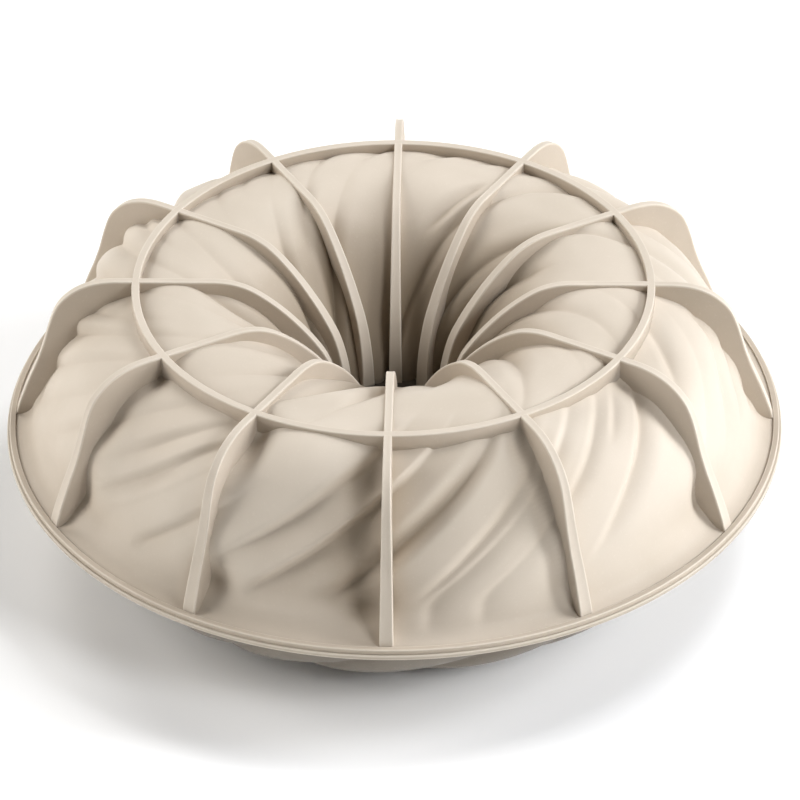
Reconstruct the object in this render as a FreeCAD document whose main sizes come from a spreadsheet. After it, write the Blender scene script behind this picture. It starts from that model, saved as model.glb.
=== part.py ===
# Two-part ring (bundt) mould in moulded silicone rubber, drawn with its ribbed
# half on top.  Units: mm.  +Z is up, the vertical axis of the ring is Z, and
# the origin is the centre of the base plane of the lower, closing half.
#
#   closing half (stays put)   closing_shell, closing_rim
#   ribbed half  (lifts off)   ribbed_shell, ribbed_rim, outer_ribs,
#                              inner_ribs, crown_ring
import FreeCAD, Part
import math
import os
import PartDesign
import Sketcher

V = FreeCAD.Vector
doc = FreeCAD.newDocument("bundt_mould")

# ---------------------------------------------------------------- dimensions
sheet = doc.addObject("Spreadsheet::Sheet", "Dimensions")
CELLS = [
    # name, value, what it is
    ("rim_radius", 119.4, "outer radius of the ribbed half's rim"),
    ("rim_ledge", 0.8, "how far the closing half's rim stands out past it"),
    ("parting_z", 34.2, "height of the plane where the halves meet"),
    ("rim_floor", 1.0, "thickness of the ribbed half's flat rim"),
    ("lip_height", 0.6, "height of the lip round the rim above its floor"),
    ("lip_width", 1.9, "radial width of that lip"),
    ("closing_rim_t", 1.5, "thickness of the closing half's rim"),
    ("rim_inner", 111.0, "radius where rim and shell are divided"),
    ("bead_inner", 112.0, "inner radius of the locating bead"),
    ("bead_width", 1.8, "radial width of the locating bead"),
    ("bead_height", 0.5, "height of the locating bead"),
    ("bead_gap", 0.3, "clearance between the bead and its groove"),
    ("top_z", 84.5, "height of the ribs and crown ring"),
    ("ring_inner", 77.5, "inner radius of the crown ring"),
    ("ring_width", 2.4, "thickness of the crown ring"),
    ("ring_foot_z", 78.7, "height of the crown ring's buried foot"),
    ("rib_foot_t", 4.2, "rib thickness at the height of the rim"),
    ("rib_top_t", 2.4, "rib thickness at the top"),
    ("rib_count", 12, "number of ribs"),
    ("foot_sink", 0.6, "how deep a rib's foot runs into the shell"),
    ("wall", 2.0, "thickness of the moulded wall"),
    ("well_radius", 19.2, "radius of the centre well at the parting plane"),
    ("base_outer", 66.0, "outer radius of the flat base"),
    ("base_inner", 36.0, "inner radius of the flat base"),
    ("fill_radius", 10.0, "radius of a filling hole"),
    ("fill_circle", 51.0, "radius of the circle the filling holes sit on"),
    ("fill_count", 4, "number of filling holes"),
]
for row, (name, value, note) in enumerate(CELLS, start=1):
    sheet.set("A%d" % row, name)
    sheet.set("B%d" % row, repr(value))
    sheet.set("C%d" % row, note)
    sheet.setAlias("B%d" % row, name)
doc.recompute()


def dim(name):
    return float(sheet.get(name))


def cell(name):
    return "Dimensions." + name


# ------------------------------------------------------------ profile curves
# (radius, height) along the outside of the ribbed half, from the rim over the
# crown and down the centre well.
RIBBED = [(111.0, 39.4), (110.2, 40.9), (108.6, 45.0), (106.8, 50.0), (104.2, 55.5),
          (101.6, 60.0), (99.0, 64.5), (96.2, 68.8), (92.6, 72.4), (88.5, 75.1),
          (84.0, 77.2), (80.0, 78.8), (76.0, 80.4), (72.0, 81.7), (68.0, 82.4),
          (64.0, 82.4), (60.0, 81.8), (56.0, 80.8), (52.0, 79.4), (48.0, 77.5),
          (44.0, 75.2), (40.0, 72.4), (36.0, 68.8), (32.0, 64.3), (28.4, 59.1),
          (25.2, 53.3), (22.6, 47.1), (20.6, 40.7), (dim("well_radius"), dim("parting_z"))]
# along the outside of the closing half, from its rim down to the base ...
CLOSING_WALL = [(111.0, 32.7), (109.6, 28.0), (107.6, 23.0), (104.6, 17.7), (100.8, 13.2),
                (96.0, 9.3), (90.5, 5.9), (84.0, 3.1), (77.0, 1.2), (71.0, 0.3),
                (dim("base_outer"), 0.0)]
# ... and from the base up the centre well.
CLOSING_WELL = [(dim("base_inner"), 0.0), (32.6, 1.4), (29.4, 4.8), (26.6, 9.8), (24.0, 16.4),
                (21.8, 23.6), (20.2, 29.6), (dim("well_radius"), dim("parting_z"))]
# along a rib's free edge outside the crown ring, from the rim to the top ...
RIB_OUT = [(117.6, 35.2), (117.0, 37.5), (115.5, 42.0), (114.0, 46.0), (112.2, 50.5),
           (110.5, 54.5), (109.1, 58.3), (107.8, 62.2), (106.6, 66.5), (105.4, 70.3),
           (104.0, 73.8), (102.4, 76.5), (100.4, 78.7), (98.0, 80.7), (95.0, 82.4),
           (92.4, 83.4), (89.4, 84.1), (86.0, 84.45), (83.5, 84.5)]
# ... and inside it, from the top down into the well.
RIB_IN = [(54.5, 84.5), (51.0, 84.2), (47.6, 83.4), (44.5, 82.2), (41.2, 80.2),
          (38.0, 77.8), (35.0, 75.2), (32.0, 72.3), (29.0, 69.0), (26.1, 65.5),
          (23.5, 61.9), (20.9, 57.7), (18.9, 52.5), (17.5, 46.7), (16.7, 40.5),
          (16.4, 34.8)]


def shifted(points, distance):
    """points moved sideways by distance, to the left of their direction"""
    out = []
    for i, (x, z) in enumerate(points):
        a = points[max(i - 1, 0)]
        b = points[min(i + 1, len(points) - 1)]
        tx, tz = b[0] - a[0], b[1] - a[1]
        n = math.hypot(tx, tz)
        out.append((x - tz / n * distance, z + tx / n * distance))
    return out


def curve(points):
    c = Part.BSplineCurve()
    c.interpolate([V(x, z, 0) for x, z in points])
    return c


def between(points, x_from, x_to, steps):
    """points on the curve through the given points, at even steps of radius"""
    c = curve(points)
    out = []
    for i in range(steps + 1):
        x = x_from + (x_to - x_from) * i / steps
        hit = c.intersect(Part.Line(V(x, -500, 0), V(x, 500, 0)))
        p = hit[0] if isinstance(hit, (list, tuple)) else hit
        out.append((x, p.Y))
    return out


# ---------------------------------------------------------- document helpers
def new_body(label):
    body = doc.addObject("PartDesign::Body", label)
    body.Label = label
    if hasattr(body, "AllowCompound"):
        body.AllowCompound = True
    return body


def plane(body, role):
    for f in body.Origin.OriginFeatures:
        if f.Role == role:
            return f
    raise RuntimeError("no plane " + role)


def new_sketch(body, name, role):
    sk = body.newObject("Sketcher::SketchObject", name)
    sk.AttachmentSupport = [(plane(body, role), "")]
    sk.MapMode = "FlatFace"
    return sk


def line(sk, a, b):
    return sk.addGeometry(Part.LineSegment(V(a[0], a[1], 0), V(b[0], b[1], 0)), False)


def spline(sk, points):
    return sk.addGeometry(curve(points), False)


def closed(sk, ids):
    """join the end of each edge to the start of the next"""
    for i, g in enumerate(ids):
        sk.addConstraint(Sketcher.Constraint("Coincident", g, 2, ids[(i + 1) % len(ids)], 1))


def bind(sk, kind, geo, pos, expression):
    """distance of one vertex from the sketch origin, driven by the sheet"""
    g = sk.Geometry[geo]
    p = g.StartPoint if pos == 1 else g.EndPoint
    value = p.x if kind == "DistanceX" else p.y
    i = sk.addConstraint(Sketcher.Constraint(kind, -1, 1, geo, pos, value))
    sk.setExpression("Constraints[%d]" % i, expression)


def revolve(body, sk, name):
    rev = body.newObject("PartDesign::Revolution", name)
    rev.Profile = sk
    rev.ReferenceAxis = (sk, ["V_Axis"])
    rev.Angle = 360.0
    sk.Visibility = False
    return rev


def polygon_sketch(body, name, role, corners):
    """closed polygon whose corners' x and y are both driven by the sheet.
    corners: (x, y, expression of x, expression of y)"""
    sk = new_sketch(body, name, role)
    n = len(corners)
    ids = [line(sk, corners[i][:2], corners[(i + 1) % n][:2]) for i in range(n)]
    closed(sk, ids)
    for g, c in zip(ids, corners):
        bind(sk, "DistanceX", g, 1, c[2])
        bind(sk, "DistanceY", g, 1, c[3])
    return sk


wall = dim("wall")
z_part = dim("parting_z")
r_rim = dim("rim_radius")
top = dim("top_z")
sink = dim("foot_sink")

# ------------------------------------------------------------- closing_shell
# The outer wall, the flat base and the centre tube of the lower half.
body = new_body("closing_shell")
sk = new_sketch(body, "closing_section", "XZ_Plane")
wall_in = shifted(CLOSING_WALL, -wall)
well_in = shifted(CLOSING_WELL, -wall)
# the inside curves end square on the parting plane and on the base's inside
wall_in[0] = (CLOSING_WALL[0][0] - 2.4, z_part)
wall_in[-1] = (CLOSING_WALL[-1][0] - 0.4, wall)
well_in[0] = (CLOSING_WELL[0][0] + 0.4, wall)
well_in[-1] = (CLOSING_WELL[-1][0] + wall, z_part)
ids = [
    line(sk, wall_in[0], (dim("rim_inner"), z_part)),
    line(sk, (dim("rim_inner"), z_part), CLOSING_WALL[0]),
    spline(sk, CLOSING_WALL),
    line(sk, CLOSING_WALL[-1], CLOSING_WELL[0]),
    spline(sk, CLOSING_WELL),
    line(sk, CLOSING_WELL[-1], well_in[-1]),
    spline(sk, well_in[::-1]),
    line(sk, well_in[0], wall_in[-1]),
    spline(sk, wall_in[::-1]),
]
closed(sk, ids)
closing_rev = revolve(body, sk, "closing_revolution")
doc.recompute()
# four round filling holes through the flat base
sk = new_sketch(body, "filling_hole", "XY_Plane")
hole = sk.addGeometry(Part.Circle(V(dim("fill_circle"), 0, 0), V(0, 0, 1), dim("fill_radius")), False)
i = sk.addConstraint(Sketcher.Constraint("Radius", hole, dim("fill_radius")))
sk.setExpression("Constraints[%d]" % i, cell("fill_radius"))
i = sk.addConstraint(Sketcher.Constraint("DistanceX", -1, 1, hole, 3, dim("fill_circle")))
sk.setExpression("Constraints[%d]" % i, cell("fill_circle"))
sk.addConstraint(Sketcher.Constraint("PointOnObject", hole, 3, -1))
pocket = body.newObject("PartDesign::Pocket", "filling_pocket")
pocket.Profile = sk
pocket.Length = 6.0
pocket.Midplane = True
doc.recompute()
pattern = body.newObject("PartDesign::PolarPattern", "filling_pattern")
pattern.Originals = [pocket]
pattern.Axis = (sk, ["N_Axis"])
pattern.Angle = 360.0
pattern.Occurrences = 4
pattern.setExpression("Occurrences", cell("fill_count"))
body.Tip = pattern
doc.recompute()
closing_shell = body

# --------------------------------------------------------------- closing_rim
# Flat rim of the lower half with a raised locating bead.
body = new_body("closing_rim")
z_low = z_part - dim("closing_rim_t")
b0 = dim("bead_inner")
b1 = b0 + dim("bead_width")
r_out = r_rim + dim("rim_ledge")
sk = polygon_sketch(body, "closing_rim_section", "XZ_Plane", [
    (dim("rim_inner"), z_low, cell("rim_inner"), cell("parting_z") + "-" + cell("closing_rim_t")),
    (r_out, z_low, cell("rim_radius") + "+" + cell("rim_ledge"),
     cell("parting_z") + "-" + cell("closing_rim_t")),
    (r_out, z_part, cell("rim_radius") + "+" + cell("rim_ledge"), cell("parting_z")),
    (b1, z_part, cell("bead_inner") + "+" + cell("bead_width"), cell("parting_z")),
    (b1, z_part + dim("bead_height"), cell("bead_inner") + "+" + cell("bead_width"),
     cell("parting_z") + "+" + cell("bead_height")),
    (b0, z_part + dim("bead_height"), cell("bead_inner"), cell("parting_z") + "+" + cell("bead_height")),
    (b0, z_part, cell("bead_inner"), cell("parting_z")),
    (dim("rim_inner"), z_part, cell("rim_inner"), cell("parting_z")),
])
revolve(body, sk, "closing_rim_revolution")
closing_rim = body

# -------------------------------------------------------------- ribbed_shell
# Wall, crown and centre tube of the upper half, one moulded skin.
body = new_body("ribbed_shell")
sk = new_sketch(body, "ribbed_section", "XZ_Plane")
inside = shifted(RIBBED, wall)
inside[0] = (RIBBED[0][0] - 2.6, z_part)
inside[1] = (RIBBED[1][0] - wall, RIBBED[1][1] - 0.6)
inside[-1] = (RIBBED[-1][0] + wall, z_part)
ids = [
    line(sk, (dim("rim_inner"), z_part), RIBBED[0]),
    spline(sk, RIBBED),
    line(sk, RIBBED[-1], inside[-1]),
    spline(sk, inside[::-1]),
    line(sk, inside[0], (dim("rim_inner"), z_part)),
]
closed(sk, ids)
revolve(body, sk, "ribbed_revolution")
ribbed_shell = body

# --------------------------------------------------------------- ribbed_rim
# Flat rim of the upper half: a fillet up to the shell, the lip round its edge
# and the groove that takes the closing half's bead.
body = new_body("ribbed_rim")
sk = new_sketch(body, "ribbed_rim_section", "XZ_Plane")
z_floor = z_part + dim("rim_floor")
z_lip = z_floor + dim("lip_height")
r_lip = r_rim - dim("lip_width")
sweep = [(dim("rim_inner"), RIBBED[0][1]), (112.0, 37.7), (113.6, 36.3), (115.4, 35.5), (r_lip, z_floor)]
ids = [
    line(sk, (dim("rim_inner"), z_part), (r_rim, z_part)),
    line(sk, (r_rim, z_part), (r_rim, z_lip)),
    line(sk, (r_rim, z_lip), (r_lip, z_lip)),
    line(sk, (r_lip, z_lip), (r_lip, z_floor)),
    spline(sk, sweep[::-1]),
    line(sk, sweep[0], (dim("rim_inner"), z_part)),
]
closed(sk, ids)
for g, ex, ez in ((ids[0], cell("rim_inner"), cell("parting_z")),
                  (ids[1], cell("rim_radius"), cell("parting_z")),
                  (ids[2], cell("rim_radius"),
                   cell("parting_z") + "+" + cell("rim_floor") + "+" + cell("lip_height")),
                  (ids[3], cell("rim_radius") + "-" + cell("lip_width"),
                   cell("parting_z") + "+" + cell("rim_floor") + "+" + cell("lip_height"))):
    bind(sk, "DistanceX", g, 1, ex)
    bind(sk, "DistanceY", g, 1, ez)
ribbed_rim_rev = revolve(body, sk, "ribbed_rim_revolution")
doc.recompute()
g0 = b0 - dim("bead_gap")
g1 = b1 + dim("bead_gap")
zg = z_part + dim("bead_height") + dim("bead_gap")
sk = polygon_sketch(body, "bead_groove_section", "XZ_Plane", [
    (g0, z_part - 1.0, cell("bead_inner") + "-" + cell("bead_gap"), cell("parting_z") + "-1"),
    (g1, z_part - 1.0, cell("bead_inner") + "+" + cell("bead_width") + "+" + cell("bead_gap"),
     cell("parting_z") + "-1"),
    (g1, zg, cell("bead_inner") + "+" + cell("bead_width") + "+" + cell("bead_gap"),
     cell("parting_z") + "+" + cell("bead_height") + "+" + cell("bead_gap")),
    (g0, zg, cell("bead_inner") + "-" + cell("bead_gap"),
     cell("parting_z") + "+" + cell("bead_height") + "+" + cell("bead_gap")),
])
groove = body.newObject("PartDesign::Groove", "bead_groove")
groove.Profile = sk
groove.ReferenceAxis = (sk, ["V_Axis"])
groove.Angle = 360.0
ribbed_rim = body
doc.recompute()

# ---------------------------------------------------------------- crown_ring
# Hoop standing on the crown, which joins the ribs and carries the mould.
body = new_body("crown_ring")
sk = polygon_sketch(body, "crown_ring_section", "XZ_Plane", [
    (dim("ring_inner"), dim("ring_foot_z"), cell("ring_inner"), cell("ring_foot_z")),
    (dim("ring_inner") + dim("ring_width"), dim("ring_foot_z"),
     cell("ring_inner") + "+" + cell("ring_width"), cell("ring_foot_z")),
    (dim("ring_inner") + dim("ring_width"), top, cell("ring_inner") + "+" + cell("ring_width"),
     cell("top_z")),
    (dim("ring_inner"), top, cell("ring_inner"), cell("top_z")),
])
revolve(body, sk, "crown_ring_revolution")
crown_ring = body


# ---------------------------------------------------------------------- ribs
def rib_body(label, section):
    """ribs of one kind: a flat plate in the XZ plane, drafted so that it is
    thin at the top and thick at the rim, repeated round the vertical axis"""
    body = new_body(label)
    sk = new_sketch(body, label + "_section", "XZ_Plane")
    ids = section(sk)
    closed(sk, ids)
    pad = body.newObject("PartDesign::Pad", label + "_plate")
    pad.Profile = sk
    pad.Length = dim("rib_foot_t")
    pad.Midplane = True
    pad.setExpression("Length", cell("rib_foot_t"))
    doc.recompute()
    # draft: a wedge off each flank, from nothing at the rim
    half_foot = dim("rib_foot_t") / 2
    half_top = dim("rib_top_t") / 2
    z0 = z_part
    cuts = []
    for side in (1, -1):
        s = "" if side == 1 else "-"
        wedge = polygon_sketch(body, label + ("_wedge_a" if side == 1 else "_wedge_b"), "YZ_Plane", [
            (side * half_foot, z0, s + cell("rib_foot_t") + "/2", cell("parting_z")),
            (side * (half_foot + 0.6), z0, s + "(" + cell("rib_foot_t") + "/2+0.6)", cell("parting_z")),
            (side * (half_foot + 0.6), top + 1, s + "(" + cell("rib_foot_t") + "/2+0.6)",
             cell("top_z") + "+1"),
            (side * half_top, top + 1, s + cell("rib_top_t") + "/2", cell("top_z") + "+1"),
        ])
        cut = body.newObject("PartDesign::Pocket", label + ("_draft_a" if side == 1 else "_draft_b"))
        cut.Profile = wedge
        cut.Length = 2 * r_rim + 20
        cut.Midplane = True
        doc.recompute()
        cuts.append(cut)
    ring = body.newObject("PartDesign::PolarPattern", label + "_pattern")
    ring.Originals = [pad] + cuts
    ring.Axis = (plane(body, "Z_Axis"), [""])
    ring.Angle = 360.0
    ring.Occurrences = int(dim("rib_count"))
    ring.setExpression("Occurrences", cell("rib_count"))
    body.Tip = ring
    doc.recompute()
    return body


r_hoop_out = dim("ring_inner") + dim("ring_width")
r_hoop_in = dim("ring_inner")
foot = shifted(RIBBED, sink)
foot_out = between(foot, r_hoop_out - 0.05, 110.0, 14)
foot_in = [p for p in foot if p[0] < r_hoop_in - 2 and p[1] > 36]
foot_in = [(r_hoop_in + 0.05, between(foot, r_hoop_in + 0.05, 90.0, 1)[0][1])] + foot_in
foot_in.append((RIBBED[-1][0] + sink, RIB_IN[-1][1]))


def outer_section(sk):
    # the foot stays clear of the groove that takes the closing half's bead
    z_base = zg + 0.1
    base = (110.0, z_base)
    end = (RIB_OUT[0][0] + 0.3, z_base)
    return [
        line(sk, base, end),
        line(sk, end, (RIB_OUT[0][0] + 0.3, RIB_OUT[0][1])),
        line(sk, (RIB_OUT[0][0] + 0.3, RIB_OUT[0][1]), RIB_OUT[0]),
        spline(sk, RIB_OUT),
        line(sk, RIB_OUT[-1], (r_hoop_out - 0.05, top)),
        line(sk, (r_hoop_out - 0.05, top), foot_out[0]),
        spline(sk, foot_out),
        line(sk, foot_out[-1], base),
    ]


def inner_section(sk):
    return [
        line(sk, (r_hoop_in + 0.05, top), RIB_IN[0]),
        spline(sk, RIB_IN),
        line(sk, RIB_IN[-1], foot_in[-1]),
        spline(sk, foot_in[::-1]),
        line(sk, foot_in[0], (r_hoop_in + 0.05, top)),
    ]


outer_ribs = rib_body("outer_ribs", outer_section)
inner_ribs = rib_body("inner_ribs", inner_section)

# -------------------------------------------------------- checks and writing
doc.recompute()
parts = [closing_shell, closing_rim, ribbed_shell, ribbed_rim, crown_ring, outer_ribs, inner_ribs]
for obj in doc.Objects:
    bad = [s for s in obj.State if s in ("Invalid", "Error")]
    if bad:
        raise RuntimeError("%s is %s" % (obj.Name, bad))
os.makedirs("parts", exist_ok=True)
for obj in parts:
    s = obj.Shape
    if s.isNull() or not s.isValid():
        raise RuntimeError(obj.Label + " has no valid shape")
    b = s.BoundBox
    print("%-14s solids %2d volume %9.1f  x %.2f..%.2f z %.2f..%.2f" % (
        obj.Label, len(s.Solids), s.Volume, b.XMin, b.XMax, b.ZMin, b.ZMax))
for obj in parts:
    obj.Shape.exportStep(os.path.join("parts", obj.Label + ".step"))
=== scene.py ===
import math

import bpy
import numpy as np
from mathutils import Matrix, Vector


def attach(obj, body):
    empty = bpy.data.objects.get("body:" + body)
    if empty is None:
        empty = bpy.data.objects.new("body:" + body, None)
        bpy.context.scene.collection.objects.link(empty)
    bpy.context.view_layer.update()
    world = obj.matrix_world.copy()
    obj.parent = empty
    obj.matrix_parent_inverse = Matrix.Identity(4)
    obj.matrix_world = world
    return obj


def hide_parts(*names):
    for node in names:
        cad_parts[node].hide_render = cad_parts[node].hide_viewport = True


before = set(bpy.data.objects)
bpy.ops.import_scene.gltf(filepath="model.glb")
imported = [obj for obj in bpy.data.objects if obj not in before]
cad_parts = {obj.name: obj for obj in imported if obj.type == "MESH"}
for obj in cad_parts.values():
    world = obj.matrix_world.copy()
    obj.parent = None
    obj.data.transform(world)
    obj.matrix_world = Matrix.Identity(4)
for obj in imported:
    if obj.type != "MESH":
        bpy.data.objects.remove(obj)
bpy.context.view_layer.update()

MM = 0.001

# ------------------------------------------------------------------ numbers
# Millimetres, as in the CAD source.
TOP = 84.5
PART = 34.2
RIM_R = 119.4
LEDGE_R = 120.2
LIP_IN = 117.5
FLOOR = 35.2
LIP_TOP = 35.8
RING_IN, RING_OUT = 77.5, 79.9
WALL = 2.0
RIB_FOOT_T, RIB_TOP_T = 4.2, 2.4

SWEEP = [(117.6, 35.15), (116.4, 35.3), (115.2, 35.6), (113.6, 36.3), (112.0, 37.7)]
RIBBED = [(111.0, 39.4), (110.2, 40.9), (108.6, 45.0), (106.8, 50.0), (104.2, 55.5),
          (101.6, 60.0), (99.0, 64.5), (96.2, 68.8), (92.6, 72.4), (88.5, 75.1),
          (84.0, 77.2), (80.0, 78.8), (76.0, 80.4), (72.0, 81.7), (68.0, 82.4),
          (64.0, 82.4), (60.0, 81.8), (56.0, 80.8), (52.0, 79.4), (48.0, 77.5),
          (44.0, 75.2), (40.0, 72.4), (36.0, 68.8), (32.0, 64.3), (28.4, 59.1),
          (25.2, 53.3), (22.6, 47.1), (20.6, 40.7), (19.2, 34.3)]
CLOSING_WALL = [(112.0, 33.0), (111.0, 32.3), (110.4, 30.6), (109.6, 28.0), (107.6, 23.0), (104.6, 17.7),
                (100.8, 13.2), (96.0, 9.3), (90.5, 5.9), (84.0, 3.1), (77.0, 1.2), (71.0, 0.3),
                (66.0, 0.0)]
CLOSING_WELL = [(36.0, 0.0), (32.6, 1.4), (29.4, 4.8), (26.6, 9.8), (24.0, 16.4),
                (21.8, 23.6), (20.2, 29.6), (19.2, 34.1)]
RIB_OUT = [(117.6, 35.2), (117.0, 37.5), (115.5, 42.0), (114.0, 46.0), (112.2, 50.5),
           (110.5, 54.5), (109.1, 58.3), (107.8, 62.2), (106.6, 66.5), (105.4, 70.3),
           (104.0, 73.8), (102.4, 76.5), (100.4, 78.7), (98.0, 80.7), (95.0, 82.4),
           (92.4, 83.4), (89.4, 84.1), (86.0, 84.45), (83.5, 84.5)]
RIB_IN = [(54.5, 84.5), (51.0, 84.2), (47.6, 83.4), (44.5, 82.2), (41.2, 80.2),
          (38.0, 77.8), (35.0, 75.2), (32.0, 72.3), (29.0, 69.0), (26.1, 65.5),
          (23.5, 61.9), (20.9, 57.7), (18.9, 52.5), (17.5, 46.7), (16.7, 40.5),
          (16.4, 34.8)]


# ------------------------------------------------------------- curve helpers
def spline(points, step):
    """evenly spaced points on a natural cubic through the given ones:
    radius, height, arc length, unit tangent"""
    p = np.array(points, float)
    u = np.r_[0, np.cumsum(np.hypot(*np.diff(p, axis=0).T))]
    n = len(p)
    h = np.diff(u)
    a = np.zeros((n, n))
    b = np.zeros((n, 2))
    a[0, 0] = a[-1, -1] = 1
    for i in range(1, n - 1):
        a[i, i - 1], a[i, i], a[i, i + 1] = h[i - 1], 2 * (h[i - 1] + h[i]), h[i]
        b[i] = 6 * ((p[i + 1] - p[i]) / h[i] - (p[i] - p[i - 1]) / h[i - 1])
    m = np.linalg.solve(a, b)

    def at(q):
        i = np.clip(np.searchsorted(u, q, side="right") - 1, 0, n - 2)
        d0 = (u[i + 1] - q)[:, None]
        d1 = (q - u[i])[:, None]
        hh = h[i][:, None]
        return (m[i] * d0 ** 3 / (6 * hh) + m[i + 1] * d1 ** 3 / (6 * hh)
                + (p[i] / hh - m[i] * hh / 6) * d0 + (p[i + 1] / hh - m[i + 1] * hh / 6) * d1)

    dense = at(np.linspace(0, u[-1], 4000))
    s = np.r_[0, np.cumsum(np.hypot(*np.diff(dense, axis=0).T))]
    count = max(int(round(s[-1] / step)), 2)
    q = np.interp(np.linspace(0, s[-1], count + 1), s, np.linspace(0, u[-1], 4000))
    out = at(q)
    e = 1e-3
    t = at(np.clip(q + e, 0, u[-1])) - at(np.clip(q - e, 0, u[-1]))
    t /= np.linalg.norm(t, axis=1)[:, None]
    return out, np.linspace(0, s[-1], count + 1), t


def smooth(x, lo, hi):
    t = np.clip((np.asarray(x, float) - lo) / (hi - lo), 0, 1)
    return t * t * (3 - 2 * t)


def look_up(table, phi):
    n = len(table)
    x = np.mod(phi, 360.0) * n / 360.0 - 0.5
    i = np.floor(x).astype(int)
    f = x - i
    return table[i % n] * (1 - f) + table[(i + 1) % n] * f


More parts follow.
